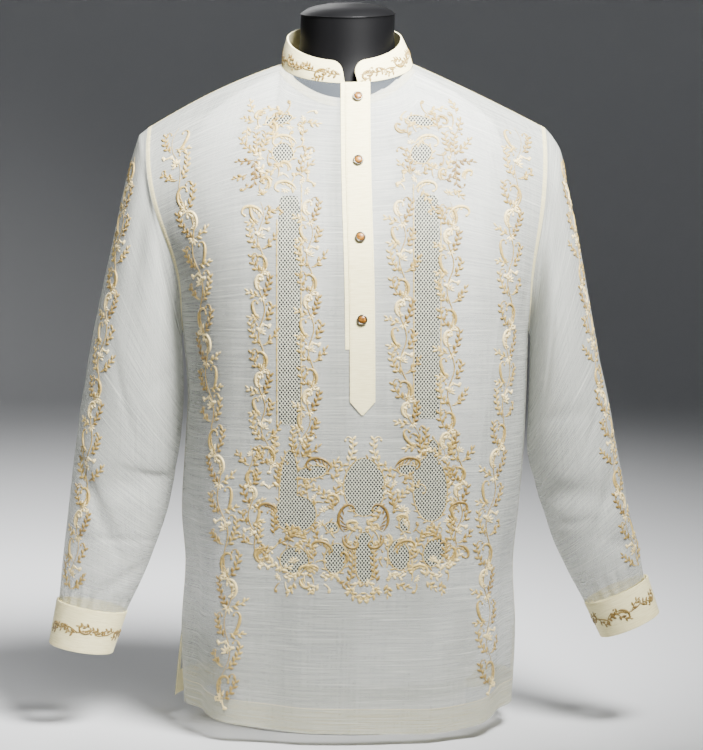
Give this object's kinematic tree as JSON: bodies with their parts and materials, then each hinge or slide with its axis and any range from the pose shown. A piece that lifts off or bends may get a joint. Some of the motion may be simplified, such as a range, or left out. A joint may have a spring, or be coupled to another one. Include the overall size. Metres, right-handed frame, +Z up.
{
  "type": "barong tagalog shirt on a limbless dress form",
  "caption": "Sheer long-sleeved formal pullover shirt with band collar, half placket and embroidered openwork front, shown on a limbless dress form that stands on a plinth",
  "frame": {"origin": "middle of the plinth's underside, on the surface that the form stands on", "axes": "+Z up, the shirt's front faces -Y, +X to the right of someone who faces it"},
  "size_m": [0.7302, 0.2965, 0.866],
  "materials": {
    "shirt_cloth": "fine stiff plain-woven leaf-fibre cloth, semi-sheer, with slub threads",
    "doubled_cloth": "the same cloth in two or three layers, nearly opaque",
    "embroidery": "satin stitch in beige, brown and ivory thread",
    "buttons": "turned, polished, with a dark rim",
    "form_cover": "white knitted jersey",
    "form_lacquer": "black lacquer, satin",
    "plinth_paint": "white eggshell paint on wood"
  },
  "bodies": {
    "root": {"front": "shirt_cloth", "back": "shirt_cloth", "sleeve_left": "shirt_cloth", "sleeve_right": "shirt_cloth", "collar": "doubled_cloth", "cuff_left": "doubled_cloth", "cuff_right": "doubled_cloth", "placket": "doubled_cloth", "placket_under": "doubled_cloth", "hem_band_front": "doubled_cloth", "hem_band_back": "doubled_cloth", "button_1": "buttons", "button_2": "buttons", "button_3": "buttons", "button_4": "buttons", "cuff_button_left": "buttons", "cuff_button_right": "buttons", "form_torso": "form_cover", "form_neck": "form_lacquer", "form_base": "plinth_paint"}
  },
  "joints": []
}
